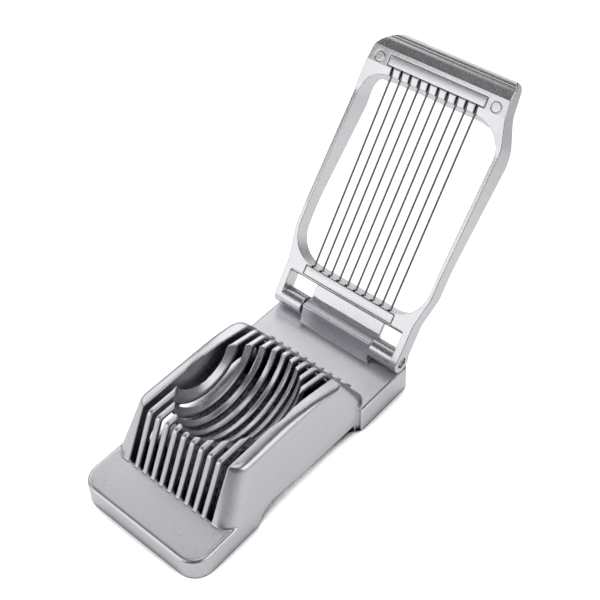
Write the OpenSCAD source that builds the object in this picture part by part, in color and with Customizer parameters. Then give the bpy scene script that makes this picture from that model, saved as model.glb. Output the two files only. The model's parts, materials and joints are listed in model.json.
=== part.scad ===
// Egg slicer: a cast base with a slotted egg hollow, and a hinged cast frame strung with ten wires.
// +Z is up and z = 0 is the worktop. x = 0 is the plane of symmetry, and the grip is towards -Y
// when the frame is shut. The frame is drawn open, leaning back on its stop.

/* [Base casting] */
// overall length of the base, front to back
base_l = 139.5; // [120:0.5:165]
// width of the front flange and of the bed's foot
base_w = 70; // [60:0.5:84]
// how far the rear platform stands out past the base on each side
platform_out = 2; // [0:0.25:5]
// height of the front flange
flange_h = 12; // [9:0.5:15]
// length of the front flange, ahead of the slotted bed
flange_l = 19.8; // [12:0.2:30]
// height of the rear platform
platform_h = 14; // [11:0.5:15]
// length of the rear platform, behind the slotted bed
platform_l = 28.5; // [24:0.5:36]
// height of the bed's top above the worktop
bed_h = 38; // [32:0.5:46]
// how far each side of the bed leans in over its height
bed_side_lean = 4.5; // [2:0.25:7]
// thickness of the cast walls
wall = 2.6; // [2:0.1:3.5]

/* [Slots and egg hollow] */
// number of wires, and of slots for them
wire_count = 10; // [6:1:12]
// distance from one wire to the next, the thickness of a slice
wire_pitch = 5; // [4:0.1:6]
// width of each slot between two ribs
slot_w = 2.5; // [1.6:0.1:3]
// thickness of the ribs, which are strips of the bed's shell
rib_t = 2.2; // [1.8:0.1:3]
// length of the egg hollow along the slots
egg_l = 62.6; // [54:0.2:72]
// width of the egg hollow across the slots
egg_w = 51.2; // [44:0.2:56]
// height of the hollow's lowest point
egg_floor_h = 15.6; // [14:0.2:20]

/* [Frame casting] */
// gap between the bed's foot and each side rail when the frame is shut
rail_gap = 2.5; // [1:0.1:5]
// how far the hinge end lies inside the platform on each side
hinge_end_in = 0.3; // [0:0.1:3]
// how far the grip stands out past the flange on each side
grip_out = 0.25; // [-4:0.25:4]
// how far the shut grip reaches past the front of the base
grip_overhang = 1; // [0:0.2:10]
// length of the grip block, measured on the face that meets the base
grip_l = 8; // [7:0.5:14]
// thickness of the side rails, seen from above
rail_w = 2; // [1.6:0.1:4]
// corner radius of the opening
opening_r = 15; // [8:0.5:18]
// angle from lying level to resting open on the stop
open_angle = 126.3; // [100:0.1:135]

/* [Hinge and fittings] */
// gap between the frame's barrels and the platform below them
hinge_gap = 1; // [0.6:0.1:4]
// distance of the hinge axis from the base's rear edge
hinge_setback = 5.9; // [5.9:0.1:9]
// width of the base's hinge knuckle
knuckle_w = 40.4; // [28:0.2:46]
// diameter of the hinge pin
pin_d = 3; // [2:0.1:4]
// diameter of a wire
wire_d = 1; // [0.5:0.05:1.2]
// width of each clamp strip, along the wires
strip_w = 4.4; // [3.6:0.1:5]
// thickness of each clamp strip
strip_t = 1.2; // [0.8:0.1:1.6]

/* [Hidden] */
$fn = 72;
far = 400;                        // longer than any part, for cuts that run right through
eps = 0.02;                       // a hair of overlap between solids that are one casting

// base, measured from its front edge at y = 0
hinge_y = base_l - hinge_setback;
platform_w = base_w + 2 * platform_out;
bed_top_w = base_w - 2 * bed_side_lean;
bed_y0 = flange_l;                // foot of the bed's front face
bed_y1 = base_l - platform_l;     // foot of the bed's rear face
bed_l = bed_y1 - bed_y0;
platform_y0 = bed_y1 - 7;         // the platform starts beside the bed's rear face
bed_lean = 13.1;                  // how far the front face leans back over its height
bed_corner_r = 9;                 // front corners of the bed
bed_rear_corner_r = 6.5;
bed_edge_r = 6;                   // soft shoulders along the bed
flange_corner_r = 9.5;
flange_edge_r = 1.8;
platform_edge_r = 1.5;
platform_corner_r = 4;
slot_from_foot = 1.5;             // the slots go right down this far behind the front face's foot
slot_past_rear = 1.4;             // and they run this far and this deep into the platform
slot_depth_rear = 0.6;
end_slot_extra = 0.8;             // the outer side of the first and last slot lies further out
cross_wall = 3;                   // walls under the ribs' feet, front and rear
corner_fill = 0.6 * bed_corner_r; // the side spaces stop this far short of the cross walls
slots_half_w = (wire_count - 1) * wire_pitch / 2 + slot_w / 2 + end_slot_extra;
shoulder_z = bed_h * 0.7;         // the shoulders are solid above this height
arch_h = 8.8;                     // cut-away under each side of the bed

// frame, in its own coordinates: s from the hinge axis towards the grip, u away from the bed
barrel_r = 5;
hinge_h = platform_h + barrel_r + hinge_gap;
frame_l = hinge_y + grip_overhang;
frame_w = base_w + 2 * (rail_gap + rail_w);
frame_hinge_w = platform_w - 2 * hinge_end_in;
frame_grip_w = base_w + 2 * grip_out;
knuckle_r = 4.6;                  // reach of the knuckle behind the axis
face_u = -barrel_r;               // the face that lies against the base when shut
frame_t = 8.6;
back_u = face_u + frame_t;
crown_u = 4.2;                    // the rails' faces step back this far near the grip
hump_u = 8.9;                      // and their backs rise this far
bar_s0 = 12.9;                    // the cross bar between the window and the opening
bar_s1 = 20.2;
grip_s1 = frame_l - 9;            // end of the grip's flat face, before its sloping nose
grip_s0 = grip_s1 - grip_l;
opening_s1 = grip_s0 - 3;
opening_w = frame_w - 2 * rail_w;
window_w = frame_hinge_w - 7.4;
barrel_gap = 0.4;                 // side play between barrels and knuckle
nose_r = 1.6;
groove_w = wire_d + 0.4;
groove_t = strip_t + wire_d;      // the wire lies between strip and groove floor
wire_u = face_u + strip_t + wire_d / 2;
strip_l = (wire_count - 1) * wire_pitch + 6.6;
strip_play = 0.25;
bar_strip_s = (bar_s0 + bar_s1) / 2 + 0.4;
grip_strip_s = grip_s0 + 1.1 + strip_w / 2;
mark_r = 2.6;                     // round ejector marks on the grip's face
mark_x = (strip_l / 2 + frame_grip_w / 2) / 2 + 0.6;
tab_s = 5.4;                      // lower end of the stop tab
tab_u0 = 1.2;
tab_u1 = 3.2;
stop_gap = 0.04;

// pin
bore_play = 0.05;
pin_x0 = -frame_hinge_w / 2 - 0.5;
pin_x1 = frame_hinge_w / 2 - 0.7;
pin_seat_r = pin_d / 2 + 1.2;
pin_seat_depth = 1.4;

// foot and first bend of the bed's rear face, the foot sunk a little into the platform
rear_knee = [bed_y1 - 0.065 * bed_l, bed_h * 0.64];
rear_foot = rear_knee + ([bed_y1, platform_h] - rear_knee) * 1.08;

// outlines as [point, corner radius] pairs, counter-clockwise
bed_profile = [
    [[bed_y0 + 8, 0], 0],
    [[bed_y1 + 1, 0], 0],
    [rear_foot, 0],
    [rear_knee, 5],
    [[bed_y1 - 0.128 * bed_l, bed_h * 0.862], 5],
    [[bed_y1 - 0.33 * bed_l, bed_h * 0.96], 50],
    [[bed_y0 + 0.5 * bed_l, bed_h], 100],
    [[bed_y0 + bed_lean, bed_h * 0.99], 2.5],
    [[bed_y0, flange_h - 1], 0],
    [[bed_y0 + 8, flange_h - 1], 0]
];
bed_section = [
    [[-base_w / 2, 0], 0], [[base_w / 2, 0], 0], [[base_w / 2, flange_h - 1], 8],
    [[bed_top_w / 2, bed_h + 0.5], bed_edge_r], [[-bed_top_w / 2, bed_h + 0.5], bed_edge_r],
    [[-base_w / 2, flange_h - 1], 8]
];
arch_profile = [
    [[bed_y0 + 16.6, -1], 0], [[bed_y1 - 9, -1], 0], [[bed_y1 - 10, 0.55 * arch_h], 1.5],
    [[bed_y1 - 0.46 * bed_l, 0.74 * arch_h], 60], [[bed_y0 + 26, arch_h], 5],
    [[bed_y0 + 20.5, 0.62 * arch_h], 6]
];
frame_side = [
    [[0, face_u], 0], [[grip_s0 - 72, face_u], 60], [[grip_s0 - 14, face_u + crown_u], 14],
    [[grip_s0, face_u], 0], [[grip_s1, face_u], 0.4], [[frame_l - 3.2, face_u + 2.6], 9],
    [[frame_l, back_u - 0.6], nose_r], [[grip_s0, back_u], 12],
    [[grip_s0 - 18, back_u + hump_u], 14], [[grip_s0 - 70, back_u], 60], [[0, back_u], 0]
];
half_outline = [
    [[frame_hinge_w / 2, -barrel_r], 0],
    [[frame_hinge_w / 2, bar_s1 - 1], 14], [[frame_w / 2, bar_s1 + 13], 14],
    [[frame_w / 2, grip_s0 - 12], 16], [[frame_grip_w / 2 + 1.5, grip_s0 + 2], 14],
    [[frame_grip_w / 2, frame_l], 6]
];
frame_outline = concat(half_outline, [
    for (i = [len(half_outline) - 1:-1:0])
        [[-half_outline[i][0].x, half_outline[i][0].y], half_outline[i][1]]
]);

function unit(v) = v / norm(v);
function half_angle(a, b, c) = acos(unit(a - b) * unit(c - b)) / 2;
function arc_centre(a, b, c, r) =
    b + unit(unit(a - b) + unit(c - b)) * r / sin(half_angle(a, b, c));
function turns_left(a, b, c) = cross(b - a, c - b) > 0;
function inward(v) = unit([-v.y, v.x]);

// the corner b of an outline, moved inwards from both its sides by t
function inset(a, b, c, t) =
    b + (inward(b - a) + inward(c - b)) * t / (1 + inward(b - a) * inward(c - b));

// a point of the open frame, in the base's y and z
function open_point(s, u) = [
    hinge_y - s * cos(open_angle) + u * sin(open_angle),
    hinge_h + s * sin(open_angle) + u * cos(open_angle)
];

// the origin is under the middle of the slicer as it stands open
nose_centre = arc_centre(frame_side[5][0], frame_side[6][0], frame_side[7][0], nose_r);
y_mid = (open_point(nose_centre.x, nose_centre.y).x + nose_r) / 2;

// the underside of the ribs, one rib thickness inside the bed's outline
under_profile = concat(
    [[bed_y0 + cross_wall, -1], [bed_y1 - cross_wall, -1], [bed_y1 - cross_wall, platform_h]],
    [for (i = [3:7]) inset(bed_profile[i - 1][0], bed_profile[i][0], bed_profile[i + 1][0], rib_t)],
    [[bed_y0 + cross_wall, flange_h]]
);
under_section = [
    [wall - base_w / 2, -1], [base_w / 2 - wall, -1], [base_w / 2 - wall, flange_h - 1],
    [max(slots_half_w + 1.5, bed_top_w / 2 - 2.2), bed_h],
    [-max(slots_half_w + 1.5, bed_top_w / 2 - 2.2), bed_h], [wall - base_w / 2, flange_h - 1]
];

cast_colour = [0.70, 0.70, 0.73];
frame_colour = [0.78, 0.78, 0.80];
strip_colour = [0.88, 0.88, 0.90];
wire_colour = [0.40, 0.40, 0.41];
pin_colour = [0.55, 0.55, 0.57];

// ---- helpers ----

// a polygon whose corners are true arcs, convex or concave
module rounded(outline) {
    n = len(outline);
    p = [for (o = outline) o[0]];
    r = [for (o = outline) o[1]];
    reach = [for (i = [0:n - 1])
        r[i] == 0 ? 0 : r[i] / tan(half_angle(p[(i + n - 1) % n], p[i], p[(i + 1) % n]))];
    trimmed = [for (i = [0:n - 1], side = [-1, 1])
        if (r[i] > 0 || side > 0)
            p[i] + unit(p[(i + side + n) % n] - p[i]) * reach[i]];
    difference() {
        union() {
            polygon(trimmed);
            for (i = [0:n - 1])
                if (r[i] > 0 && turns_left(p[(i + n - 1) % n], p[i], p[(i + 1) % n]))
                    corner_disc(p[(i + n - 1) % n], p[i], p[(i + 1) % n], r[i]);
        }
        for (i = [0:n - 1])
            if (r[i] > 0 && !turns_left(p[(i + n - 1) % n], p[i], p[(i + 1) % n]))
                corner_disc(p[(i + n - 1) % n], p[i], p[(i + 1) % n], r[i]);
    }
}

// the part of a corner's circle that stands out from the chord between its tangent points
module corner_disc(a, b, c, r) {
    reach = r / tan(half_angle(a, b, c));
    intersection() {
        translate(arc_centre(a, b, c, r)) circle(r);
        polygon([b + unit(a - b) * reach, b, b + unit(c - b) * reach]);
    }
}

// a y-z outline drawn out along X, centred on x = 0
module across(width) {
    translate([-width / 2, 0, 0]) rotate([90, 0, 90]) linear_extrude(width) children();
}

// a rectangle centred on x = 0, from y0 to y1
module strip2d(width, y0, y1) {
    translate([-width / 2, y0]) square([width, y1 - y0]);
}

// a block centred on x = 0
module block(width, y0, y1, z0, z1) {
    translate([-width / 2, y0, z0]) cube([width, y1 - y0, z1 - z0]);
}

// takes a shape from the base's front edge to the part's origin
module on_base() {
    translate([0, -y_mid, 0]) children();
}

// takes a shape from the frame's own coordinates to where it stands open
module on_frame() {
    translate([0, hinge_y - y_mid, hinge_h]) rotate([-open_angle, 0, 0]) mirror([0, 1, 0]) children();
}

// a rod along X
module rod(r, x0, x1) {
    translate([x0, 0, 0]) rotate([0, 90, 0]) cylinder(r = r, h = x1 - x0);
}

// ---- base ----

// a slab from y = 0 backwards, its front corners and its upper edge rounded
module slab(w, l, h, corner_r, edge_r) {
    across(w - 2 * corner_r) rounded([[[0, 0], 0], [[l, 0], 0], [[l, h], 0], [[0, h], edge_r]]);
    translate([0, l, 0]) rotate([90, 0, 0]) linear_extrude(l - corner_r) rounded([
        [[-w / 2, 0], 0], [[w / 2, 0], 0], [[w / 2, h], edge_r], [[-w / 2, h], edge_r]
    ]);
    for (side = [-1, 1]) translate([side * (w / 2 - corner_r), corner_r, 0]) rotate_extrude()
        rounded([[[0, 0], 0], [[corner_r, 0], 0], [[corner_r, h], edge_r], [[0, h], 0]]);
}

module flange() slab(base_w, bed_y0 + 9, flange_h, flange_corner_r, flange_edge_r);

module platform() translate([0, base_l, 0]) mirror([0, 1, 0])
    slab(platform_w, base_l - platform_y0, platform_h, platform_corner_r, platform_edge_r);

// rounds the edge where two leaning faces of the bed meet
module edge_cutter(point, normal_a, normal_b, r) {
    axis = unit(cross(normal_a, normal_b));
    inward = -unit(normal_a + normal_b);
    side = cross(axis, inward);
    half = (180 - acos(normal_a * normal_b)) / 2;
    depth = r / sin(half);
    reach = r / tan(half);
    multmatrix([
        [inward.x, side.x, axis.x, point.x],
        [inward.y, side.y, axis.y, point.y],
        [inward.z, side.z, axis.z, point.z],
        [0, 0, 0, 1]
    ])
        translate([0, 0, -60]) linear_extrude(120) difference() {
            polygon([[-2, 0], [reach * cos(half), -reach * sin(half)], [depth, 0],
                [reach * cos(half), reach * sin(half)]]);
            translate([depth, 0]) circle(r);
        }
}

module bed() {
    front = unit([0, -(bed_h * 0.99 - flange_h + 1), bed_lean]);
    rear = unit([0, rear_knee.y - rear_foot.y, rear_foot.x - rear_knee.x]);
    lean = (base_w - bed_top_w) / 2;
    side_h = bed_h + 1.5 - flange_h;
    rear_x = base_w / 2 - lean * (rear_foot.y - flange_h + 1) / side_h;
    difference() {
        intersection() {
            across(base_w + 2) rounded(bed_profile);
            translate([0, bed_y1 + 5, 0]) rotate([90, 0, 0]) linear_extrude(bed_l + 10)
                rounded(bed_section);
        }
        for (side = [-1, 1]) {
            flank = unit([side * side_h, 0, lean]);
            edge_cutter([side * base_w / 2, bed_y0, flange_h - 1], front, flank, bed_corner_r);
            edge_cutter([side * rear_x, rear_foot.x, rear_foot.y], rear, flank, bed_rear_corner_r);
        }
    }
}

// hinge knuckle, with the ledge behind it that the frame's tab comes to rest on
module knuckle() {
    across(knuckle_w) {
        rounded([
            [[hinge_y - 5.6, platform_h - 1], 0], [[hinge_y + knuckle_r, platform_h - 1], 0],
            [[hinge_y + knuckle_r, hinge_h + 4.2], 4],
            [[hinge_y - 3, hinge_h + 3.8], 0.9]
        ]);
        polygon([
            [hinge_y, platform_h - 1], [open_point(tab_s, tab_u1).x, platform_h - 1],
            open_point(tab_s - stop_gap, tab_u1), open_point(tab_s - stop_gap, tab_u0),
            [hinge_y, hinge_h]
        ]);
    }
}

// one slot, from x0 to x1
module slot(x0, x1) {
    top = bed_h + 5;
    split_y = bed_y0 + bed_l / 2;
    translate([(x0 + x1) / 2, 0, 0]) {
        block(x1 - x0, bed_y0 + 0.35, split_y, flange_h - 0.1, top);
        block(x1 - x0, split_y - 1, bed_y1 + slot_past_rear, platform_h - slot_depth_rear, top);
        block(x1 - x0, bed_y0 + slot_from_foot, bed_y1 - cross_wall, -1, top);
    }
}

module slots() {
    last = wire_count - 1;
    for (i = [0:last])
        slot(
            (i - last / 2) * wire_pitch - slot_w / 2 - (i == 0 ? end_slot_extra : 0),
            (i - last / 2) * wire_pitch + slot_w / 2 + (i == last ? end_slot_extra : 0)
        );
}

// egg-shaped hollow, turned about a line along Y, or the bowl that lies outside it by t
module egg_hollow(t = 0) {
    r = egg_w / 2;
    arc_r = (r * r + egg_l * egg_l / 4) / egg_w;
    translate([0, bed_y0 + 0.507 * bed_l, egg_floor_h + r]) rotate([90, 0, 0])
        rotate_extrude($fn = 144) intersection() {
            translate([r - arc_r, 0]) circle(arc_r + t, $fn = 180);
            translate([0, -egg_l]) square([egg_w, 2 * egg_l]);
        }
}

// the space under the bed: wide open below the shoulders, and right up to the ribs in the middle
module under_bed() difference() {
    union() {
        across(2 * slots_half_w + eps) polygon(under_profile);
        intersection() {
            across(base_w) intersection() {
                translate([corner_fill, 0]) polygon(under_profile);
                translate([-corner_fill, 0]) polygon(under_profile);
                translate([0, -1]) square([far, shoulder_z + 1]);
            }
            translate([0, base_l, 0]) rotate([90, 0, 0]) linear_extrude(base_l) polygon(under_section);
        }
    }
    egg_hollow(rib_t);
}

// hollow underside, open to the worktop
module core() {
    front_r = flange_corner_r - wall;
    translate([0, 0, -1]) linear_extrude(flange_h - wall + 1) {
        strip2d(base_w - 2 * wall, wall + front_r, bed_y0 - wall / 2);
        strip2d(base_w - 2 * flange_corner_r, wall, bed_y0 - wall / 2);
        for (side = [-1, 1])
            translate([side * (base_w / 2 - flange_corner_r), flange_corner_r]) circle(front_r);
    }
    block(platform_w - 2 * wall, bed_y1 + wall / 2, base_l - wall, -1, platform_h - wall);
    under_bed();
}

// the same shape on the right, or mirrored to the left
module scale_x(side) {
    if (side > 0) children();
    else mirror([1, 0, 0]) children();
}

module base_casting() color(cast_colour) on_base() difference() {
    union() {
        flange();
        platform();
        bed();
        knuckle();
    }
    core();
    egg_hollow();
    slots();
    for (side = [-1, 1]) scale_x(side)
        translate([slots_half_w + wall + far / 2, 0, 0]) across(far) rounded(arch_profile);
    translate([0, hinge_y, hinge_h]) rod(pin_d / 2, -far / 2, far / 2);
}

// ---- frame, in s and u ----

module opening_outline() {
    r = opening_r;
    strip2d(opening_w, bar_s1 + r, opening_s1 - r);
    strip2d(opening_w - 2 * r, bar_s1, opening_s1);
    for (side = [-1, 1], s = [bar_s1 + r, opening_s1 - r])
        translate([side * (opening_w / 2 - r), s]) circle(r);
}

module strip_pocket(s) {
    block(strip_l + 2 * strip_play, s - strip_w / 2 - strip_play, s + strip_w / 2 + strip_play,
        face_u - 1, face_u + strip_t);
}

module wire_grooves(s0, s1) {
    for (i = [0:wire_count - 1])
        translate([(i - (wire_count - 1) / 2) * wire_pitch, 0, 0])
            block(groove_w, s0, s1, face_u - 1, face_u + groove_t);
}

module frame_body() {
    difference() {
        intersection() {
            translate([0, 0, -20]) linear_extrude(40) rounded(frame_outline);
            across(frame_w + 2) union() {
                rounded(frame_side);
                circle(barrel_r);
            }
        }
        translate([0, 0, -20]) linear_extrude(40) {
            opening_outline();
            strip2d(window_w, -2 * barrel_r, bar_s0);
        }
        // rounded lower edge of the cross bar
        translate([0, bar_s0, face_u]) across(window_w) difference() {
            translate([-1, -1]) square(3);
            translate([2, 2]) circle(2);
        }
        // the grip is hollow behind
        translate([0, 0, face_u + groove_t + 1.6]) linear_extrude(20) difference() {
            strip2d(frame_grip_w - 10, opening_s1 + 2.6, grip_s1 + 3);
            strip2d(2, opening_s1, grip_s1 + 4);
        }
    }
}

module frame_casting() color(frame_colour) on_frame() difference() {
    union() {
        frame_body();
        for (side = [-1, 1]) scale_x(side)
            rod(barrel_r, knuckle_w / 2 + barrel_gap, window_w / 2 + 1);
        block(knuckle_w, tab_s, bar_s0 + 1, tab_u0, tab_u1);
    }
    strip_pocket(bar_strip_s);
    strip_pocket(grip_strip_s);
    wire_grooves(bar_strip_s - 1, bar_s1 + 4);
    wire_grooves(opening_s1 - 1, grip_strip_s + 1);
    rod(pin_d / 2 + bore_play, -far / 2, far / 2);
    rod(pin_seat_r, frame_hinge_w / 2 - pin_seat_depth, far / 2);
    for (side = [-1, 1])
        translate([side * mark_x, grip_strip_s, face_u - 1]) difference() {
            cylinder(r = mark_r, h = 1.2);
            translate([0, 0, -1]) cylinder(r = mark_r - 0.3, h = 4);
        }
}

module clamp_strip(s) {
    color(strip_colour) on_frame()
        block(strip_l, s - strip_w / 2, s + strip_w / 2, face_u, face_u + strip_t);
}

module clamp_strip_grip() clamp_strip(grip_strip_s);
module clamp_strip_hinge() clamp_strip(bar_strip_s);

module hinge_pin() color(pin_colour) on_base()
    translate([0, hinge_y, hinge_h]) rod(pin_d / 2, pin_x0, pin_x1);

module wire(number) {
    s0 = bar_strip_s - 0.8;
    s1 = grip_strip_s + 0.8;
    color(wire_colour) on_frame()
        translate([(number - 1 - (wire_count - 1) / 2) * wire_pitch, s0, wire_u])
            rotate([-90, 0, 0]) cylinder(d = wire_d, h = s1 - s0, $fn = 24);
}

base_casting();
frame_casting();
clamp_strip_grip();
clamp_strip_hinge();
hinge_pin();
for (number = [1:wire_count])
    wire(number);
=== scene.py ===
"""Cast aluminium egg slicer, standing open: slotted base, hinged frame and ten cutting wires.

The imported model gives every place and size. Each visible piece is built here around it, in metres:
the two castings get the soft edges that a die leaves, and the strips, wires and pin are made anew.
"""

import json
import logging
import math
from dataclasses import dataclass
from enum import Enum

import bmesh
import bpy
import numpy as np
from mathutils import Matrix, Vector


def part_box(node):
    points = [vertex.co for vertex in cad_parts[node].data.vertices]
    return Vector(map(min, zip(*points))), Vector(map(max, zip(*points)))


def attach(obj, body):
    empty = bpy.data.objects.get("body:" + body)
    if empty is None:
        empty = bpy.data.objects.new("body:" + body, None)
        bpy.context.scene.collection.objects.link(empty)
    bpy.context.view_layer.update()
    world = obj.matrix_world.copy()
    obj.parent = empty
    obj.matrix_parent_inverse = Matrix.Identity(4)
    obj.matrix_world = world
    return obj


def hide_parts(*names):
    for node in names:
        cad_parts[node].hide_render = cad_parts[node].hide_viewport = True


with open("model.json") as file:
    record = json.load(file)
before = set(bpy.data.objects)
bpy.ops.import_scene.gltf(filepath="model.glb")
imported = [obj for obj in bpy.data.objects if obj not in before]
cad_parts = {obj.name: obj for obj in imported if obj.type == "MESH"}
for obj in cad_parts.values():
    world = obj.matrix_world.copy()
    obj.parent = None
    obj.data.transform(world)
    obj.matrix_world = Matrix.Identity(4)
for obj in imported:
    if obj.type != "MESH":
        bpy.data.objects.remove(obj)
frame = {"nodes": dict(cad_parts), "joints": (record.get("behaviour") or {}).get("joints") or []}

log = logging.getLogger("egg_slicer")
MM = 0.001


class Body(Enum):
    """The two bodies that move against each other."""

    BASE = "base"
    FRAME = "frame"


class Slot(Enum):
    """The record's material slots."""

    BASE_CAST = "base_cast"
    FRAME_CAST = "frame_cast"
    CLAMP_STRIP = "clamp_strip"
    WIRE = "wire_steel"
    PIN = "pin_steel"


class Mask(Enum):
    """Point attributes that the cast finishes read."""

    EDGE = "edge_wear"
    CREVICE = "crevice"


# ---- places ----


@dataclass(frozen=True)
class TiltedAxes:
    """The frame's own directions: s runs from the hinge towards the grip, u away from the base."""

    hinge: tuple[float, float, float]
    open_deg: float = 126.3

    def directions(self) -> tuple[np.ndarray, np.ndarray]:
        """The tilted directions.

        Returns:
            The unit vectors of s and u in the row frame.
        """
        a = math.radians(self.open_deg)
        return (
            np.array([0.0, -math.cos(a), math.sin(a)]),
            np.array([0.0, math.sin(a), math.cos(a)]),
        )

    def to_tilted(self, points: np.ndarray) -> np.ndarray:
        """Turns row-frame points into x, s and u.

        Args:
            points: one point a row, in metres.

        Returns:
            The same points as x, s and u.
        """
        s, u = self.directions()
        d = points - np.array(self.hinge)
        return np.stack([points[:, 0], d @ s, d @ u], axis=1)

    def to_row(self, points: np.ndarray) -> np.ndarray:
        """Turns x, s and u into row-frame points.

        Args:
            points: one x, s, u a row, in metres.

        Returns:
            The same points in the row frame.
        """
        s, u = self.directions()
        place = np.outer(points[:, 1], s) + np.outer(points[:, 2], u) + np.array(self.hinge)
        place[:, 0] = points[:, 0]
        return place


@dataclass(frozen=True)
class Extent:
    """The lowest and highest x, s and u of a CAD node."""

    low: np.ndarray
    high: np.ndarray

    @classmethod
    def of_node(cls, node: str, axes: TiltedAxes) -> "Extent":
        """Measures a CAD node along the tilted axes.

        Args:
            node: the CAD node's name.
            axes: the frame's directions.

        Returns:
            The node's extent.
        """
        held = axes.to_tilted(points_of(frame["nodes"][node].data))
        return cls(held.min(axis=0), held.max(axis=0))

    @property
    def middle(self) -> np.ndarray:
        """The centre of the extent."""
        return (self.low + self.high) / 2

    @property
    def size(self) -> np.ndarray:
        """The extent's sides."""
        return self.high - self.low


# ---- mesh helpers ----


def points_of(mesh: bpy.types.Mesh) -> np.ndarray:
    """Reads a mesh's vertices.

    Args:
        mesh: the mesh.

    Returns:
        One vertex a row, in metres.
    """
    held = np.empty(len(mesh.vertices) * 3, np.float32)
    mesh.vertices.foreach_get("co", held)
    return held.reshape(-1, 3).astype(float)


def set_points(mesh: bpy.types.Mesh, points: np.ndarray) -> None:
    """Writes an array of vertices back to a mesh."""
    mesh.vertices.foreach_set("co", points.astype(np.float32).ravel())
    mesh.update()


def new_object(name: str, mesh: bpy.types.Mesh) -> bpy.types.Object:
    """Links a new object that holds a mesh.

    Args:
        name: the object's name.
        mesh: its mesh.

    Returns:
        The object.
    """
    obj = bpy.data.objects.new(name, mesh)
    bpy.context.scene.collection.objects.link(obj)
    return obj


def applied(obj: bpy.types.Object, name: str) -> bpy.types.Mesh:
    """Applies an object's modifiers.

    Args:
        obj: the object, whose own mesh stays as it is.
        name: what the new mesh is called.

    Returns:
        The mesh with the modifiers in it.
    """
    graph = bpy.context.evaluated_depsgraph_get()
    mesh = bpy.data.meshes.new_from_object(obj.evaluated_get(graph), depsgraph=graph)
    mesh.name = name
    return mesh


def finished(bm: bmesh.types.BMesh, name: str) -> bpy.types.Mesh:
    """Turns a shape under construction into a smooth-shaded mesh.

    Args:
        bm: the shape, which is freed.
        name: the mesh's name.

    Returns:
        The mesh.
    """
    mesh = bpy.data.meshes.new(name)
    bm.to_mesh(mesh)
    bm.free()
    smooth_faces(mesh)
    return mesh


def drop(obj: bpy.types.Object) -> None:
    """Removes a helper object and its mesh.

    Args:
        obj: the helper.
    """
    mesh = obj.data
    bpy.data.objects.remove(obj)
    bpy.data.meshes.remove(mesh)


def smooth_faces(mesh: bpy.types.Mesh) -> None:
    """Shades every face smooth."""
    mesh.polygons.foreach_set("use_smooth", np.ones(len(mesh.polygons), bool))
    mesh.update()


def ramp(value: np.ndarray, none: float, full: float) -> np.ndarray:
    """A share that goes from 0 where the value is none to 1 where it is full."""
    return np.clip((value - none) / (full - none), 0, 1)


def edge_ends(mesh: bpy.types.Mesh) -> tuple[np.ndarray, np.ndarray]:
    """The two vertices of each edge.

    Args:
        mesh: the mesh.

    Returns:
        The first and the second vertex's index, edge by edge.
    """
    pairs = np.empty(len(mesh.edges) * 2, np.int32)
    mesh.edges.foreach_get("vertices", pairs)
    return tuple(pairs.reshape(-1, 2).T)


def relax(mesh: bpy.types.Mesh, share: np.ndarray, rounds: int) -> None:
    """Evens out a dense mesh where its vertices have a share in it.

    Args:
        mesh: the mesh.
        share: from 0 for vertices that stay to 1 for those that are evened out fully.
        rounds: how many times the vertices move halfway to their neighbours' middle.
    """
    a, b = edge_ends(mesh)
    taken = (share[a] > 0) | (share[b] > 0)
    a, b, count = a[taken], b[taken], len(share)
    found = np.bincount(a, minlength=count) + np.bincount(b, minlength=count)
    found = np.maximum(found, 1)
    places = points_of(mesh)
    for _ in range(rounds if taken.any() else 0):
        for axis in range(3):
            held = places[:, axis]
            total = np.bincount(a, weights=held[b], minlength=count)
            total += np.bincount(b, weights=held[a], minlength=count)
            places[:, axis] = held + 0.5 * share * (total / found - held)
    set_points(mesh, places)


def mark_edges(mesh: bpy.types.Mesh, sharpest: float) -> None:
    """Writes how sharply a mesh bends outwards and inwards to its point attributes.

    Args:
        mesh: the mesh, with rounded edges.
        sharpest: the curvature that counts as a full edge, in 1 per metre.
    """
    count = len(mesh.vertices)
    places = points_of(mesh)
    normals = np.empty(count * 3, np.float32)
    mesh.vertex_normals.foreach_get("vector", normals)
    normals = normals.reshape(-1, 3)
    a, b = edge_ends(mesh)
    step = places[b] - places[a]
    length = np.maximum((step * step).sum(axis=1), 1e-12)
    bend = ((normals[b] - normals[a]) * step).sum(axis=1) / length
    total, found = np.zeros(count), np.zeros(count)
    for ends in (a, b):
        total += np.bincount(ends, weights=bend, minlength=count)
        found += np.bincount(ends, minlength=count)
    bend_at = total / np.maximum(found, 1)
    near = np.zeros(count)
    for one, other in ((a, b), (b, a)):
        near += np.bincount(one, weights=bend_at[other], minlength=count)
    bend_at = 0.5 * bend_at + 0.5 * near / np.maximum(found, 1)
    for mask, value in ((Mask.EDGE, bend_at), (Mask.CREVICE, -bend_at)):
        held = mesh.attributes.new(mask.value, "FLOAT", "POINT")
        held.data.foreach_set("value", np.clip(value / sharpest, 0, 1).astype(np.float32))


def settle(piece: bpy.types.Object, body: Body, slot: Slot, *nodes: str) -> None:
    """Puts a finished piece in its body and in place of its CAD nodes.

    Args:
        piece: the finished piece.
        body: the body that it moves with.
        slot: not used.
        nodes: the CAD nodes that it stands for.
    """
    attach(piece, body.value)
    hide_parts(*nodes)
    log.info("%s: %d faces on %s", piece.name, len(piece.data.polygons), body.value)


# ---- shader groups ----


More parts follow.
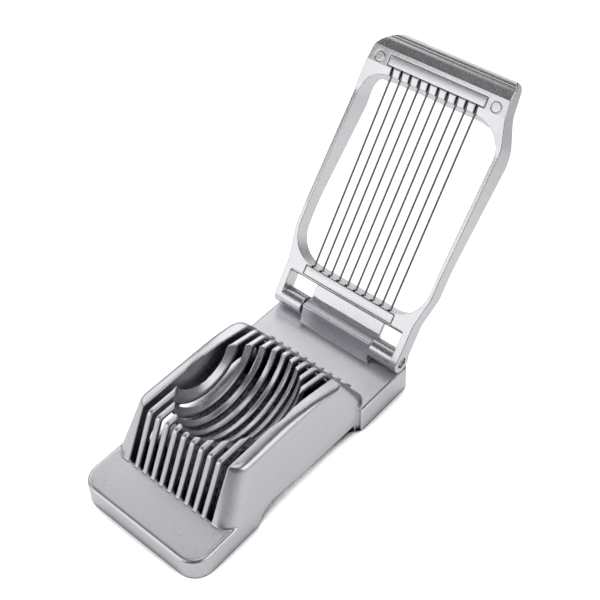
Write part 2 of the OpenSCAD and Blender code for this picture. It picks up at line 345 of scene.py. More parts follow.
class NodeBuilder:
    """Adds nodes to one shader tree and joins them."""

    def __init__(self, tree: bpy.types.NodeTree) -> None:
        """Takes the tree that the nodes go in."""
        self.tree = tree

    def node(self, kind: str, **settings: object) -> bpy.types.Node:
        """Adds a node and sets its properties.

        Args:
            kind: the node's type.
            settings: its properties.

        Returns:
            The node.
        """
        made = self.tree.nodes.new(kind)
        for key, value in settings.items():
            setattr(made, key, value)
        return made

    def link(self, source: bpy.types.NodeSocket, target: bpy.types.NodeSocket) -> None:
        """Joins two sockets."""
        self.tree.links.new(source, target)

    def feed(self, target: bpy.types.NodeSocket, value: object) -> None:
        """Gives an input a number, or joins it to another node's output.

        Args:
            target: the input.
            value: the number or the output.
        """
        if isinstance(value, bpy.types.NodeSocket):
            self.link(value, target)
        else:
            target.default_value = value

    def math(self, operation: str, *values: object, clamp: bool = False) -> bpy.types.NodeSocket:
        """Adds a Math node.

        Args:
            operation: the node's operation.
            values: a number or a socket for each input.
            clamp: whether the result is held between 0 and 1.

        Returns:
            The node's output.
        """
        made = self.node("ShaderNodeMath", operation=operation, use_clamp=clamp)
        for socket, value in zip(made.inputs, values):
            self.feed(socket, value)
        return made.outputs[0]

    def level(
        self,
        value: bpy.types.NodeSocket,
        reach: tuple[float, float],
        levels: tuple[float, float],
        ease: str = "SMOOTHSTEP",
    ) -> bpy.types.NodeSocket:
        """Turns a value into a level with a Map Range node.

        Args:
            value: the value.
            reach: the values where the change starts and ends.
            levels: the levels at those two values.
            ease: the node's interpolation.

        Returns:
            The level.
        """
        made = self.node("ShaderNodeMapRange", interpolation_type=ease)
        self.link(value, made.inputs["Value"])
        made.inputs["From Min"].default_value, made.inputs["From Max"].default_value = reach
        made.inputs["To Min"].default_value, made.inputs["To Max"].default_value = levels
        return made.outputs["Result"]


class GroupMaker(NodeBuilder):
    """Builds one shader node group with named inputs and outputs."""

    def __init__(self, name: str, inputs: dict[str, float], outputs: tuple[str, ...]) -> None:
        """Starts the group.

        Args:
            name: the group's name.
            inputs: each input's name and default.
            outputs: the outputs' names.
        """
        super().__init__(bpy.data.node_groups.new(name, "ShaderNodeTree"))
        for label, default in inputs.items():
            self._socket(label, "INPUT").default_value = default
        for label in outputs:
            self._socket(label, "OUTPUT")
        self.given = self.node("NodeGroupInput").outputs
        self.result = self.node("NodeGroupOutput").inputs

    def _socket(self, label: str, way: str) -> bpy.types.NodeTreeInterfaceSocket:
        """Adds a number socket to the group's outside."""
        new_socket = self.tree.interface.new_socket
        return new_socket(label, in_out=way, socket_type="NodeSocketFloat")

    def noise(
        self,
        place: bpy.types.NodeSocket,
        scale: bpy.types.NodeSocket | float,
        detail: float,
        rough: float = 0.55,
    ) -> bpy.types.NodeSocket:
        """Adds a noise texture.

        Args:
            place: the coordinates that it reads.
            scale: how many features to a metre.
            detail: its octaves.
            rough: how strong the finer octaves are.

        Returns:
            The noise, about 0.5 on average.
        """
        made = self.node("ShaderNodeTexNoise", noise_dimensions="3D")
        made.inputs["Detail"].default_value = detail
        made.inputs["Roughness"].default_value = rough
        self.link(place, made.inputs["Vector"])
        self.feed(made.inputs["Scale"], scale)
        return made.outputs["Fac"]

    def object_place(self) -> bpy.types.NodeSocket:
        """The piece's own coordinates, in metres."""
        return self.node("ShaderNodeTexCoord").outputs["Object"]


@dataclass(frozen=True)
class ShaderGroups:
    """The effects that several finishes share."""

    grain: bpy.types.NodeTree
    edge: bpy.types.NodeTree
    handling: bpy.types.NodeTree
    drawn: bpy.types.NodeTree

    @classmethod
    def build(cls) -> "ShaderGroups":
        """Builds each group once."""
        return cls(cls._grain(), cls._edge(), cls._handling(), cls._drawn())

    @staticmethod
    def _grain() -> bpy.types.NodeTree:
        """The fine grain of blasted or cast metal.

        Returns:
            A group that gives the grain's height and its spread of tone.
        """
        g = GroupMaker("blasted_grain", {"Grains": 2600.0, "Pits": 900.0}, ("Height", "Tone"))
        place = g.object_place()
        fine = g.noise(place, g.given["Grains"], 2.0, 0.6)
        coarse = g.noise(place, g.given["Pits"], 3.0, 0.5)
        height = g.math("MULTIPLY_ADD", coarse, 0.55, g.math("MULTIPLY", fine, 0.45))
        g.link(height, g.result["Height"])
        g.link(g.math("SUBTRACT", height, 0.5), g.result["Tone"])
        return g.tree

    @staticmethod
    def _edge() -> bpy.types.NodeTree:
        """Edges rubbed bright, and painted shade that darkens the creases and hollows.

        Returns:
            A group that gives a mask for each.
        """
        g = GroupMaker("rubbed_edges_and_painted_shade", {"Patch": 160.0, "Reach": 0.35}, ("Rubbed", "Painted shade"))
        place = g.object_place()
        edge = g.node("ShaderNodeAttribute", attribute_name=Mask.EDGE.value)
        hollow = g.node("ShaderNodeAttribute", attribute_name=Mask.CREVICE.value)
        patch = g.noise(place, g.given["Patch"], 3.0)
        cut = g.math("MULTIPLY", g.given["Reach"], patch)
        rubbed = g.math("SUBTRACT", edge.outputs["Fac"], cut, clamp=True)
        g.link(g.math("MULTIPLY", rubbed, 1.35, clamp=True), g.result["Rubbed"])
        # Painted shade: the crevice mask, broken into patches, darkens the recesses.
        soft = g.math("MULTIPLY", hollow.outputs["Fac"], g.math("ADD", patch, 0.45))
        g.link(g.math("POWER", soft, 0.8, clamp=True), g.result["Painted shade"])
        return g.tree

    @staticmethod
    def _handling() -> bpy.types.NodeTree:
        """Broad cloudy changes of gloss, and fine hairline scratches.

        Returns:
            A group that gives the clouds and a mask of the scratches.
        """
        g = GroupMaker("handling_marks", {"Clouds": 30.0, "Hairs": 90.0}, ("Cloud", "Hairline"))
        place = g.object_place()
        cloud = g.noise(place, g.given["Clouds"], 4.0)
        g.link(g.math("SUBTRACT", cloud, 0.5), g.result["Cloud"])
        turned = g.node("ShaderNodeMapping")
        turned.inputs["Rotation"].default_value = (0.4, 0.3, 0.9)
        turned.inputs["Scale"].default_value = (1.0, 22.0, 1.0)
        g.link(place, turned.inputs["Vector"])
        hair = g.noise(turned.outputs["Vector"], g.given["Hairs"], 2.0)
        off_line = g.math("ABSOLUTE", g.math("SUBTRACT", hair, 0.5))
        line = g.math("SUBTRACT", 1.0, g.math("MULTIPLY", off_line, 34.0), clamp=True)
        gate = g.math("GREATER_THAN", g.noise(place, 55.0, 1.0), 0.56)
        g.link(g.math("MULTIPLY", line, gate), g.result["Hairline"])
        return g.tree

    @staticmethod
    def _drawn() -> bpy.types.NodeTree:
        """Fine lines across the stretched axes, as on a wire, a milled strip or a turned pin.

        Returns:
            A group that gives the lines' height and their spread of tone.
        """
        g = GroupMaker(
            "drawn_lines",
            {"Across X": 1.0, "Across Y": 1.0, "Across Z": 1.0, "Lines": 2000.0},
            ("Height", "Tone"),
        )
        stretch = g.node("ShaderNodeCombineXYZ")
        for axis in "XYZ":
            g.link(g.given[f"Across {axis}"], stretch.inputs[axis])
        scaled = g.node("ShaderNodeVectorMath", operation="MULTIPLY")
        g.link(g.object_place(), scaled.inputs[0])
        g.link(stretch.outputs["Vector"], scaled.inputs[1])
        lines = g.noise(scaled.outputs["Vector"], g.given["Lines"], 3.0, 0.6)
        g.link(lines, g.result["Height"])
        g.link(g.math("SUBTRACT", lines, 0.5), g.result["Tone"])
        return g.tree


class FinishTree(NodeBuilder):
    """The node tree of one metal finish, around a single Principled shader."""

    def __init__(self, name: str) -> None:
        """Starts the material.

        Args:
            name: the finish's name.
        """
        self.material = bpy.data.materials.new(name)
        self.material.use_nodes = True
        super().__init__(self.material.node_tree)
        self.shader = self.tree.nodes["Principled BSDF"]
        self.shader.inputs["Metallic"].default_value = 1.0

    def group(self, tree: bpy.types.NodeTree, **values: float) -> bpy.types.NodeOutputs:
        """Places a shared group with its own values.

        Args:
            tree: the group.
            values: its inputs, with _ for a space.

        Returns:
            The group's outputs.
        """
        made = self.node("ShaderNodeGroup", node_tree=tree)
        for key, value in values.items():
            made.inputs[key.replace("_", " ")].default_value = value
        return made.outputs

    def sum_of(
        self, start: float, *parts: tuple[bpy.types.NodeSocket, float]
    ) -> bpy.types.NodeSocket:
        """Adds scaled masks to a starting value.

        Args:
            start: the value where every mask is 0.
            parts: each mask and what it adds at 1.

        Returns:
            The sum.
        """
        held: bpy.types.NodeSocket | float = start
        for mask, weight in parts:
            held = self.math("MULTIPLY_ADD", mask, weight, held)
        return held

    def colour(self, tint: tuple[float, float, float], level: bpy.types.NodeSocket) -> None:
        """Feeds the base colour.

        Args:
            tint: the metal's colour.
            level: what multiplies it over the surface.
        """
        mix = self.node("ShaderNodeMix", data_type="RGBA", blend_type="MULTIPLY")
        mix.inputs[0].default_value = 1.0
        mix.inputs[6].default_value = (*tint, 1.0)
        self.link(level, mix.inputs[7])
        self.link(mix.outputs[2], self.shader.inputs["Base Color"])

    def rough(self, value: bpy.types.NodeSocket) -> None:
        """Feeds the roughness."""
        self.link(value, self.shader.inputs["Roughness"])

    def relief(self, height: bpy.types.NodeSocket, depth: float) -> None:
        """Feeds the normal from a height.

        Args:
            height: the height, from 0 to 1.
            depth: how deep that is, in metres.
        """
        bump = self.node("ShaderNodeBump")
        bump.inputs["Strength"].default_value = 1.0
        bump.inputs["Distance"].default_value = depth
        self.link(height, bump.inputs["Height"])
        self.link(bump.outputs["Normal"], self.shader.inputs["Normal"])


@dataclass(frozen=True)
class SatinCasting:
    """Blasted die-cast aluminium, a little brighter where it is rubbed, with painted shade in its
    creases.
    """

    name: str
    tint: tuple[float, float, float]
    roughness: float
    grain_depth: float

    def material(self, shared: ShaderGroups) -> bpy.types.Material:
        """Builds the finish.

        Args:
            shared: the shader groups.

        Returns:
            The material.
        """
        tree = FinishTree(self.name)
        grain = tree.group(shared.grain, Grains=2600.0, Pits=850.0)
        edges = tree.group(shared.edge, Patch=170.0, Reach=0.4)
        marks = tree.group(shared.handling, Clouds=34.0, Hairs=90.0)
        tree.colour(
            self.tint,
            tree.sum_of(
                0.96,
                (grain["Tone"], 0.30),
                (marks["Cloud"], 0.10),
                (edges["Rubbed"], 0.10),
                # painted shade: the colour darkens in creases and hollows
                (edges["Painted shade"], -0.35),
            ),
        )
        tree.rough(
            tree.sum_of(
                self.roughness,
                (grain["Tone"], 0.22),
                (marks["Cloud"], 0.12),
                (edges["Rubbed"], -0.10),
                (marks["Hairline"], -0.05),
            )
        )
        tree.relief(
            tree.sum_of(0.0, (grain["Height"], 1.0), (marks["Hairline"], -0.12)),
            self.grain_depth,
        )
        return tree.material


@dataclass(frozen=True)
class MilledStrip:
    """A bright aluminium strip with a fine matt mottle."""

    name: str
    tint: tuple[float, float, float]
    roughness: float
    line_depth: float = 0.03 * MM

    def material(self, shared: ShaderGroups) -> bpy.types.Material:
        """Builds the finish.

        Args:
            shared: the shader groups.

        Returns:
            The material.
        """
        tree = FinishTree(self.name)
        grain = tree.group(shared.grain, Grains=3400.0, Pits=1500.0)
        lines = tree.group(shared.drawn, Across_X=0.12, Across_Y=1.0, Across_Z=1.0, Lines=2600.0)
        marks = tree.group(shared.handling, Clouds=60.0, Hairs=120.0)
        tree.colour(
            self.tint,
            tree.sum_of(0.96, (grain["Tone"], 0.7), (lines["Tone"], 0.2), (marks["Cloud"], 0.08)),
        )
        tree.rough(tree.sum_of(self.roughness, (grain["Tone"], 0.35), (marks["Cloud"], 0.1)))
        height = tree.sum_of(0.0, (grain["Height"], 0.8), (lines["Height"], 0.3))
        tree.relief(height, self.line_depth)
        return tree.material


@dataclass(frozen=True)
class DrawnSteel:
    """Stainless steel with the lines that drawing or turning leaves."""

    name: str
    tint: tuple[float, float, float]
    roughness: float
    across: tuple[float, float, float]
    line_depth: float = 0.012 * MM

    def material(self, shared: ShaderGroups) -> bpy.types.Material:
        """Builds the finish.

        Args:
            shared: the shader groups.

        Returns:
            The material.
        """
        tree = FinishTree(self.name)
        x, y, z = self.across
        lines = tree.group(shared.drawn, Across_X=x, Across_Y=y, Across_Z=z, Lines=5200.0)
        marks = tree.group(shared.handling, Clouds=110.0, Hairs=240.0)
        tree.colour(self.tint, tree.sum_of(0.95, (lines["Tone"], 0.35), (marks["Cloud"], 0.2)))
        tree.rough(tree.sum_of(self.roughness, (lines["Tone"], 0.2), (marks["Cloud"], 0.15)))
        tree.relief(tree.sum_of(0.0, (lines["Height"], 1.0)), self.line_depth)
        return tree.material


# ---- castings ----


@dataclass
class Casting:
    """A casting remade with soft edges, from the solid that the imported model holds."""

    node: str
    piece: str
    body: Body
    slot: Slot
    voxel: float
    rounds: int
    soft_rounds: int
    faces: int
    sharpest: float = 1.6 / MM

    def shape(self, places: np.ndarray) -> np.ndarray:
        """Moves the dense vertices where the casting has a softer form; none by default."""
        return places

    def softness(self, places: np.ndarray) -> np.ndarray:
        """How far each vertex takes part in a second, stronger softening; none by default."""
        return np.zeros(len(places))

    def build(self) -> bpy.types.Object:
        """Remeshes, softens, shapes and lightens the casting.

        Returns:
            The finished piece, with its edge masks.
        """
        source = new_object(f"{self.piece}_source", frame["nodes"][self.node].data.copy())
        source.data.materials.clear()
        remesh = source.modifiers.new("skin", "REMESH")
        remesh.mode, remesh.voxel_size, remesh.use_smooth_shade = "VOXEL", self.voxel, True
        soften = source.modifiers.new("soften", "SMOOTH")
        soften.factor, soften.iterations = 0.5, self.rounds
        dense = new_object(f"{self.piece}_dense", applied(source, f"{self.piece}_dense"))
        drop(source)
        relax(dense.data, self.softness(points_of(dense.data)), self.soft_rounds)
        set_points(dense.data, self.shape(points_of(dense.data)))
        smooth_faces(dense.data)
        lighter = dense.modifiers.new("lighter", "DECIMATE")
        lighter.ratio = min(1.0, self.faces / (2 * len(dense.data.polygons)))
        piece = new_object(self.piece, applied(dense, self.piece))
        log.info("%s: %d faces before lightening", self.piece, len(dense.data.polygons))
        dense.modifiers.clear()
        smooth_faces(piece.data)
        carry = piece.modifiers.new("normals", "DATA_TRANSFER")
        carry.object = dense
        carry.use_loop_data = True
        carry.data_types_loops = {"CUSTOM_NORMAL"}
        carry.loop_mapping = "POLYINTERP_NEAREST"
        rough, piece.data = piece.data, applied(piece, self.piece)
        piece.modifiers.clear()
        bpy.data.meshes.remove(rough)
        drop(dense)
        mark_edges(piece.data, self.sharpest)
        return piece

    def dress(self, finish: SatinCasting, shared: ShaderGroups) -> bpy.types.Object:
        """Builds the casting and gives it its finish.

        Args:
            finish: the cast finish.
            shared: the shader groups.

        Returns:
            The dressed piece.
        """
        piece = self.build()
        piece.data.materials.append(finish.material(shared))
        settle(piece, self.body, self.slot, self.node)
        return piece


@dataclass
class BaseCasting(Casting):
    """Flange, ribbed bed, platform and hinge knuckle, in one casting."""

    node: str = "base_casting"
    piece: str = "cast_base"
    body: Body = Body.BASE
    slot: Slot = Slot.BASE_CAST
    voxel: float = 0.36 * MM
    rounds: int = 5
    soft_rounds: int = 70
    faces: int = 190000
    shoulder_x: tuple[float, float] = (25.4 * MM, 26.6 * MM)
    shoulder_z: tuple[float, float] = (17.0 * MM, 23.0 * MM)

    def softness(self, places: np.ndarray) -> np.ndarray:
        """Picks out the bed's two long shoulders, which are cast with a broad soft round.

        Args:
            places: the dense vertices.

        Returns:
            A share from 0 to 1 for each vertex.
        """
        return ramp(np.abs(places[:, 0]), *self.shoulder_x) * ramp(places[:, 2], *self.shoulder_z)


@dataclass
class FrameCasting(Casting):
    """Grip, rails, cross bar and hinge barrels, in one casting."""

    axes: TiltedAxes | None = None
    node: str = "frame_casting"
    piece: str = "cast_frame"
    body: Body = Body.FRAME
    slot: Slot = Slot.FRAME_CAST
    voxel: float = 0.22 * MM
    rounds: int = 5
    soft_rounds: int = 0
    faces: int = 170000
    length: float = 134.6 * MM
    half_width: float = 35.25 * MM
    cast_corner: float = 6.0 * MM
    nose_length: float = 11.5 * MM
    nose_side: float = 18.0 * MM
    nose_blend: float = 1.25
    nose_start: float = 125.6 * MM
    nose_run_in: float = 2.5 * MM
    nose_middle: float = 20.0 * MM
    nose_stations: int = 30
    nose_slope: float = 0.448
    nose_bend: float = 0.006 / MM
    nose_fade: tuple[float, float] = (3.0 * MM, 1.4 * MM)
    face_u: float = -5.0 * MM
    mark_u: float = -4.5 * MM
    mark_x: float = 31.1 * MM
    mark_s: float = 120.9 * MM
    mark_r: float = 2.4 * MM
    mark_depth: float = 0.13 * MM
    mark_line: float = 0.2 * MM
    draft: float = 0.32
    draft_deep: float = 9.0 * MM
    draft_rise: tuple[float, float] = (100.6 * MM, 112.6 * MM)
    draft_fall: tuple[float, float] = (116.8 * MM, 115.2 * MM)
    draft_side: tuple[float, float] = (33.0 * MM, 27.0 * MM)

    def _drawn_in(self, s: np.ndarray, long: float, side: float) -> np.ndarray:
        """How far a rounded end corner lies inside the full width.

        Args:
            s: distances from the hinge axis.
            long: the corner's length along s.
            side: its reach across.

        Returns:
            The distance drawn in at each s.
        """
        along = np.clip((s - self.length + long) / long, 0, 0.999)
        return side * (1 - np.sqrt(1 - along**2))

    def _nose_fall(self, held: np.ndarray) -> np.ndarray:
        """How far each vertex of the nose moves to give it one even, slightly domed slope.

        Args:
            held: the vertices along x, s and u.

        Returns:
            The distance to move against u.
        """
        x, s, u = held.T
        middle = (np.abs(x) < self.nose_middle) & (s > self.nose_start)
        tip = s[middle].max()
        stations = np.linspace(self.nose_start, tip, self.nose_stations)
        gaps = self.nose_stations - 1
        bins = np.clip(np.searchsorted(stations, s[middle]) - 1, 0, gaps - 1)
        lowest = np.full(gaps, self.face_u)
        for k in range(gaps):
            found = u[middle][bins == k]
            lowest[k] = found.min() if len(found) else lowest[k - 1]
        run = np.clip(s - self.nose_start, 0, tip - self.nose_start)
        wanted = self.face_u + self.nose_slope * run + self.nose_bend * run * run
        cast = np.interp(s, 0.5 * (stations[1:] + stations[:-1]), lowest)
        fall = np.clip(cast - wanted, 0, None) * ramp(u, *self.nose_fade)
        return np.where(run > self.nose_run_in, fall, 0.0)

    def _squeezed(self, x: np.ndarray, s: np.ndarray) -> np.ndarray:
        """Draws the nose's left side in, to a rounder corner than the cast one.

        Args:
            x: the vertices' x.
            s: their distances from the hinge axis.

        Returns:
            Their new x.
        """
        cast_x = self.half_width - self._drawn_in(s, self.cast_corner, self.cast_corner)
        wanted_x = self.half_width - self._drawn_in(s, self.nose_length, self.nose_side)
        still = self.half_width - self.nose_blend * self.nose_side
        drawn = still + (-x - still) * (wanted_x - still) / (cast_x - still)
        return np.where(-x > still, -drawn, x)

    def _drafted(self, x: np.ndarray, s: np.ndarray, u: np.ndarray) -> np.ndarray:
        """How far the opening's wall by the grip leans back towards the hinge.

        Args:
            x: the vertices' x.
            s: their distances from the hinge axis.
            u: their heights off the bed.

        Returns:
            The distance to move against s.
        """
        by_wall = ramp(s, *self.draft_rise) * ramp(s, *self.draft_fall)
        by_wall = by_wall * ramp(np.abs(x), *self.draft_side)
        return self.draft * np.clip(u - self.face_u, 0, self.draft_deep) * by_wall

    def shape(self, places: np.ndarray) -> np.ndarray:
        """Rounds the nose's left corner, evens its slope and presses in the two ring marks.

        Args:
            places: the dense vertices.

        Returns:
            The vertices in their final places.
        """
        x, s, u = self.axes.to_tilted(places).T
        off_ring = np.hypot(np.abs(x) - self.mark_x, s - self.mark_s) - self.mark_r
        pressed = self.mark_depth * np.exp(-((off_ring / self.mark_line) ** 2))
        held = np.stack([self._squeezed(x, s), s - self._drafted(x, s, u), u], axis=1)
        held[:, 2] = np.where(u < self.mark_u, u + pressed, u) - self._nose_fall(held)
        return self.axes.to_row(held)


# ---- strips, wires and pin ----


@dataclass
class ClampStrips:
    """The two strips that hold the wires' ends."""

    axes: TiltedAxes
    nodes: tuple[str, ...] = ("clamp_strip_grip", "clamp_strip_hinge")
    edge_break: float = 0.22 * MM
    crown: float = 0.05 * MM
    crown_end: int = 8
    cells: int = 48

    def _mesh(self, node: str) -> bpy.types.Mesh:
        """A strip with broken edges and a slightly domed face.

        Args:
            node: the CAD node that it stands for.

        Returns:
            The strip's mesh.
        """
        extent = Extent.of_node(node, self.axes)
        long, wide, thick = extent.size
        bm = bmesh.new()
        bmesh.ops.create_cube(bm, size=1.0)
        bmesh.ops.scale(bm, vec=extent.size, verts=bm.verts)
        bmesh.ops.bevel(
            bm, geom=bm.edges[:], offset=self.edge_break, segments=3, profile=0.5, affect="EDGES"
        )
        run = [e for e in bm.edges if abs(e.verts[0].co.x - e.verts[1].co.x) > 0.5 * long]
        bmesh.ops.subdivide_edges(bm, edges=run, cuts=self.cells, use_grid_fill=True)
        mesh = finished(bm, f"{node}_plate")
        held = points_of(mesh)
        across = np.clip(1 - (2 * held[:, 1] / wide) ** 2, 0, 1)
        along = np.clip(1 - (2 * held[:, 0] / long) ** self.crown_end, 0, 1)
        face = held[:, 2] < -0.4 * thick
        held[face, 2] += self.crown * (1 - across * along)[face]
        set_points(mesh, self.axes.to_row(held + extent.middle))
        return mesh

    def dress(self, finish: MilledStrip, shared: ShaderGroups) -> list[bpy.types.Object]:
        """Builds both strips.

        Args:
            finish: the strips' finish.
            shared: the shader groups.

        Returns:
            The dressed strips.
        """
        material = finish.material(shared)
        made = []
        for node in self.nodes:
            piece = new_object(f"{node}_plate", self._mesh(node))
            piece.data.materials.append(material)
            settle(piece, Body.FRAME, Slot.CLAMP_STRIP, node)
            made.append(piece)
        return made


@dataclass
class CuttingWires:
    """Ten straight wires, each pressed flat where its ends lie under a strip."""

    axes: TiltedAxes
    count: int = 10
    sides: int = 20
    rings: int = 40
    pressed: float = 3.2 * MM
    flat: float = 0.86
    cut_end: float = 0.75
    cut_round: float = 0.2 * MM
    near_end: tuple[float, ...] = (0.0, 0.08 * MM, 0.25 * MM, 3.2 * MM, 4.4 * MM)
    plain_from: float = 8.0 * MM

    def _ring(self, reach: float) -> np.ndarray:
        """The wire's section near one of its ends, for a wire of radius 1.

        Args:
            reach: the distance to the nearer end.

        Returns:
            One point a row, across x and u.
        """
        size = self.cut_end + (1 - self.cut_end) * min(1.0, reach / self.cut_round)
        press = self.flat if reach < self.pressed + 0.1 * MM else 1.0
        turn = 2 * math.pi * np.arange(self.sides) / self.sides
        return size * np.stack([np.cos(turn), press * np.sin(turn)], axis=1)

    def _mesh(self, node: str) -> bpy.types.Mesh:
        """One wire's tube.

        Args:
            node: the CAD node that it stands for.

        Returns:
            The wire's mesh.
        """
        extent = Extent.of_node(node, self.axes)
        middle, r = extent.middle, extent.size[0] / 2
        s0, s1 = extent.low[1], extent.high[1]
        plain = np.linspace(s0 + self.plain_from, s1 - self.plain_from, self.rings)
        stations = [s0 + e for e in self.near_end] + list(plain)
        stations += [s1 - e for e in reversed(self.near_end)]
        bm = bmesh.new()
        rings = []
        for s in stations:
            section = middle[[0, 2]] + r * self._ring(min(s - s0, s1 - s))
            points = np.stack([section[:, 0], np.full(self.sides, s), section[:, 1]], axis=1)
            rings.append([bm.verts.new(p) for p in self.axes.to_row(points)])
        for one, other in zip(rings, rings[1:]):
            for k in range(self.sides):
                n = (k + 1) % self.sides
                bm.faces.new((one[k], one[n], other[n], other[k]))
        bm.faces.new(rings[0])
        bm.faces.new(rings[-1])
        bmesh.ops.recalc_face_normals(bm, faces=bm.faces[:])
        return finished(bm, f"{node}_tube")

    def dress(self, finish: DrawnSteel, shared: ShaderGroups) -> list[bpy.types.Object]:
        """Builds the wires.

        Args:
            finish: the wires' finish.
            shared: the shader groups.

        Returns:
            The dressed wires.
        """
        material = finish.material(shared)
        made = []
        for number in range(1, self.count + 1):
            node = f"wire_{number}"
            piece = new_object(f"cutting_wire_{number}", self._mesh(node))
            piece.data.materials.append(material)
            settle(piece, Body.FRAME, Slot.WIRE, node)
            made.append(piece)
        return made


@dataclass
class HingePin:
    """A turned pin with chamfered ends and a centre mark in each."""

    node: str = "hinge_pin"
    sides: int = 40
    spans: int = 12
    chamfer: float = 0.3 * MM
    mark: float = 0.35 * MM
    mark_deep: float = 0.25 * MM

    def _mesh(self) -> bpy.types.Mesh:
        """The pin, turned about its own axis.

        Returns:
            The pin's mesh.
        """
        low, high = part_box(self.node)
        middle, r = (low + high) / 2, (high.z - low.z) / 2
        c, m = self.chamfer, self.mark
        end = [(0.0, self.mark_deep), (0.6 * m, 0.48 * self.mark_deep), (m, 0.0)]
        end += [(r - c, 0.0), (r - 0.3 * c, 0.3 * c), (r, c)]
        steps = range(1, self.spans)
        profile = [(low.x + x, rr) for rr, x in end]
        profile += [(low.x + (high.x - low.x) * k / self.spans, r) for k in steps]
        profile += [(high.x - x, rr) for rr, x in reversed(end)]
        bm = bmesh.new()
        line = [bm.verts.new((x, 0.0, rr)) for x, rr in profile]
        edges = [bm.edges.new(pair) for pair in zip(line, line[1:])]
        bmesh.ops.spin(
            bm, geom=line + edges, cent=(0, 0, 0), axis=(1, 0, 0), angle=2 * math.pi,
            steps=self.sides, use_merge=True,
        )
        bmesh.ops.remove_doubles(bm, verts=bm.verts, dist=1e-6)
        bmesh.ops.recalc_face_normals(bm, faces=bm.faces[:])
        bmesh.ops.translate(bm, vec=(0, middle.y, middle.z), verts=bm.verts)
        return finished(bm, "turned_pin")

    def dress(self, finish: DrawnSteel, shared: ShaderGroups) -> bpy.types.Object:
        """Builds the pin.

        Args:
            finish: the pin's finish.
            shared: the shader groups.

        Returns:
            The dressed pin.
        """
        piece = new_object("turned_pin", self._mesh())
        piece.data.materials.append(finish.material(shared))
        settle(piece, Body.BASE, Slot.PIN, self.node)
        return piece


# ---- studio ----


@dataclass(frozen=True)
class SoftBox:
    """One soft lamp, placed by its direction from the slicer."""

    name: str
    direction: tuple[float, float, float]
    width: float
    height: float
    glow: float
    distance: float = 1.0

    def place(self, target: Vector) -> bpy.types.Object:
        """Hangs the lamp and turns it to the slicer.

        Args:
            target: the point that it faces.

        Returns:
            The lamp.
        """
        lamp = bpy.data.lights.new(self.name, "AREA")
        lamp.shape, lamp.size, lamp.size_y = "RECTANGLE", self.width, self.height
        lamp.energy = self.glow * math.pi * self.width * self.height
        obj = bpy.data.objects.new(self.name, lamp)
        bpy.context.scene.collection.objects.link(obj)
        away = Vector(self.direction).normalized()
        obj.location = target + away * self.distance
        obj.rotation_euler = away.to_track_quat("Z", "Y").to_euler()
        return obj


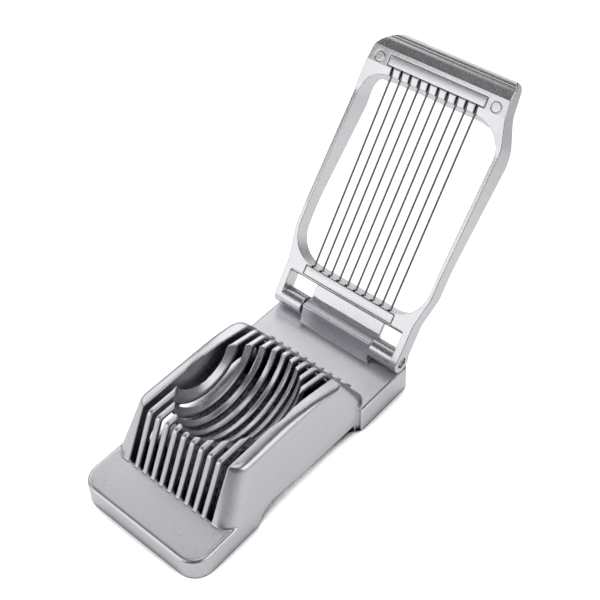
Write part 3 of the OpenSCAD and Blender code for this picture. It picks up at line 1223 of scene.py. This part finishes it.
@dataclass(frozen=True)
class Studio:
    """Pale floor, pale surroundings, soft lamps and the camera."""

    eye: tuple[float, float, float] = (0.22918, -0.24703, 0.40577)
    azimuth_deg: float = 42.85
    elevation_deg: float = 45.86
    roll_deg: float = -2.77
    lens: float = 67.26
    target: tuple[float, float, float] = (0.0, 0.0, 0.05)
    sensor: float = 36.0
    floor_half: float = 4.0
    floor_seen: float = 1.0
    floor_pale: float = 0.8
    floor_rough: float = 0.9
    shade_reach: float = 0.05
    shade_open: tuple[float, float] = (0.42, 0.64)
    mirrored: tuple[float, float] = (0.12, 0.38)
    mirrored_reach: tuple[float, float] = (0.32, 0.14)
    room_levels: tuple[float, float] = (0.10, 1.0)

    def camera(self) -> bpy.types.Object:
        """Places the camera.

        Returns:
            The camera.
        """
        angles = (self.azimuth_deg, self.elevation_deg, self.roll_deg)
        az, el, roll = (math.radians(angle) for angle in angles)
        back = Vector((math.sin(az) * math.cos(el), -math.cos(az) * math.cos(el), math.sin(el)))
        right = Vector((0, 0, 1)).cross(back).normalized()
        up = back.cross(right)
        x = math.cos(roll) * right + math.sin(roll) * up
        y = -math.sin(roll) * right + math.cos(roll) * up
        data = bpy.data.cameras.new("studio_camera")
        data.lens, data.sensor_width = self.lens, self.sensor
        data.clip_start, data.clip_end = 0.02, 20.0
        obj = bpy.data.objects.new("studio_camera", data)
        bpy.context.scene.collection.objects.link(obj)
        turn = Matrix((x, y, back)).transposed().to_4x4()
        obj.matrix_world = Matrix.Translation(Vector(self.eye)) @ turn
        bpy.context.scene.camera = obj
        return obj

    def _floor_finish(self) -> bpy.types.Material:
        """The floor's finish, which looks white where nothing shades it.

        The floor glows white to the camera and dimmer in the metal, with a painted reflection that
        is brightest near the slicer.
        Its colour and both glows fade out close under the slicer, which paints a shadow there.

        Returns:
            The material.
        """
        material = bpy.data.materials.new("studio_floor")
        material.use_nodes = True
        floor = NodeBuilder(material.node_tree)
        shader = floor.tree.nodes["Principled BSDF"].inputs
        shader["Roughness"].default_value = self.floor_rough
        shader["Specular IOR Level"].default_value = 0.0
        shader["Emission Color"].default_value = (1, 1, 1, 1)
        path = floor.node("ShaderNodeLightPath").outputs
        # Painted shadow: ambient occlusion darkens the floor's colour and glow under the slicer.
        covered = floor.node("ShaderNodeAmbientOcclusion", samples=16)
        covered.inputs["Distance"].default_value = self.shade_reach
        shade = floor.level(covered.outputs["AO"], self.shade_open, (0.0, self.floor_seen))
        floor.link(floor.math("MULTIPLY", shade, self.floor_pale), shader["Base Color"])
        # Painted reflection: for glossy rays the floor glows, most strongly near the slicer.
        away = floor.node("ShaderNodeVectorMath", operation="LENGTH")
        floor.link(floor.node("ShaderNodeTexCoord").outputs["Object"], away.inputs[0])
        near = floor.level(away.outputs["Value"], self.mirrored_reach, self.mirrored)
        painted_reflection = floor.math("MULTIPLY", path["Is Glossy Ray"], near)
        seen = floor.math("MULTIPLY", path["Is Camera Ray"], shade)
        floor.link(floor.math("MULTIPLY_ADD", painted_reflection, shade, seen), shader["Emission Strength"])
        return material

    def floor(self) -> bpy.types.Object:
        """Lays the floor.

        Returns:
            The floor.
        """
        h = self.floor_half
        mesh = bpy.data.meshes.new("studio_floor")
        mesh.from_pydata([(-h, -h, 0), (h, -h, 0), (h, h, 0), (-h, h, 0)], [], [(0, 1, 2, 3)])
        obj = new_object("studio_floor", mesh)
        mesh.materials.append(self._floor_finish())
        return obj

    def surroundings(self) -> None:
        """Lights the room evenly and dimly, and shows it white behind the slicer."""
        world = bpy.data.worlds.new("studio_room")
        bpy.context.scene.world = world
        world.use_nodes = True
        room = NodeBuilder(world.node_tree)
        shader = room.tree.nodes["Background"].inputs
        seen = room.node("ShaderNodeLightPath").outputs["Is Camera Ray"]
        shader["Color"].default_value = (1, 1, 1, 1)
        room.link(room.level(seen, (0.0, 1.0), self.room_levels, "LINEAR"), shader["Strength"])

    def lamps(self) -> list[bpy.types.Object]:
        """Hangs the soft boxes.

        Returns:
            The lamps.
        """
        boxes = (
            SoftBox("left", (-0.866, 0.0, 0.5), 0.95, 0.50, 1.15),
            SoftBox("right_back", (0.913, 0.161, 0.375), 0.90, 0.60, 1.35),
            SoftBox("top", (0.087, 0.0, 0.996), 0.50, 0.50, 1.2),
            SoftBox("front_left_low", (-0.470, -0.860, 0.190), 0.80, 0.50, 1.1),
            SoftBox("front_left", (-0.212, -0.791, 0.574), 0.70, 0.30, 1.2),
            SoftBox("back_left", (-0.440, 0.470, 0.765), 0.70, 0.54, 0.86),
            SoftBox("back_low", (-0.383, 0.821, 0.423), 0.90, 0.40, 1.3),
        )
        return [box.place(Vector(self.target)) for box in boxes]

    def build(self) -> None:
        """Sets up the whole studio."""
        self.camera()
        self.floor()
        self.surroundings()
        self.lamps()
        bpy.context.scene.view_settings.view_transform = "Standard"
        log.info("studio ready")


# ---- build ----

SATIN_BASE = SatinCasting("satin_base", (0.755, 0.76, 0.80), 0.31, 0.03 * MM)
SATIN_FRAME = SatinCasting("satin_frame", (0.795, 0.79, 0.82), 0.26, 0.02 * MM)
MATT_STRIP = MilledStrip("matt_strip", (0.90, 0.89, 0.92), 0.34)
DRAWN_WIRE = DrawnSteel("drawn_wire", (0.30, 0.30, 0.31), 0.30, (1.0, 0.05, 0.05))
TURNED_STEEL = DrawnSteel("turned_steel", (0.50, 0.50, 0.52), 0.28, (1.0, 0.2, 0.2))


def joint_place() -> tuple[float, float, float]:
    """The hinge's place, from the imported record."""
    return tuple(frame["joints"][0]["pos_m"])


def main() -> None:
    """Builds the slicer, sub-assembly by sub-assembly, and its studio."""
    logging.basicConfig(level=logging.INFO, format="%(name)s: %(message)s")
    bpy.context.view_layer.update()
    axes = TiltedAxes(joint_place())
    shared = ShaderGroups.build()
    Studio().build()
    BaseCasting().dress(SATIN_BASE, shared)
    FrameCasting(axes=axes).dress(SATIN_FRAME, shared)
    ClampStrips(axes).dress(MATT_STRIP, shared)
    CuttingWires(axes).dress(DRAWN_WIRE, shared)
    HingePin().dress(TURNED_STEEL, shared)


if __name__ == "__main__":
    main()
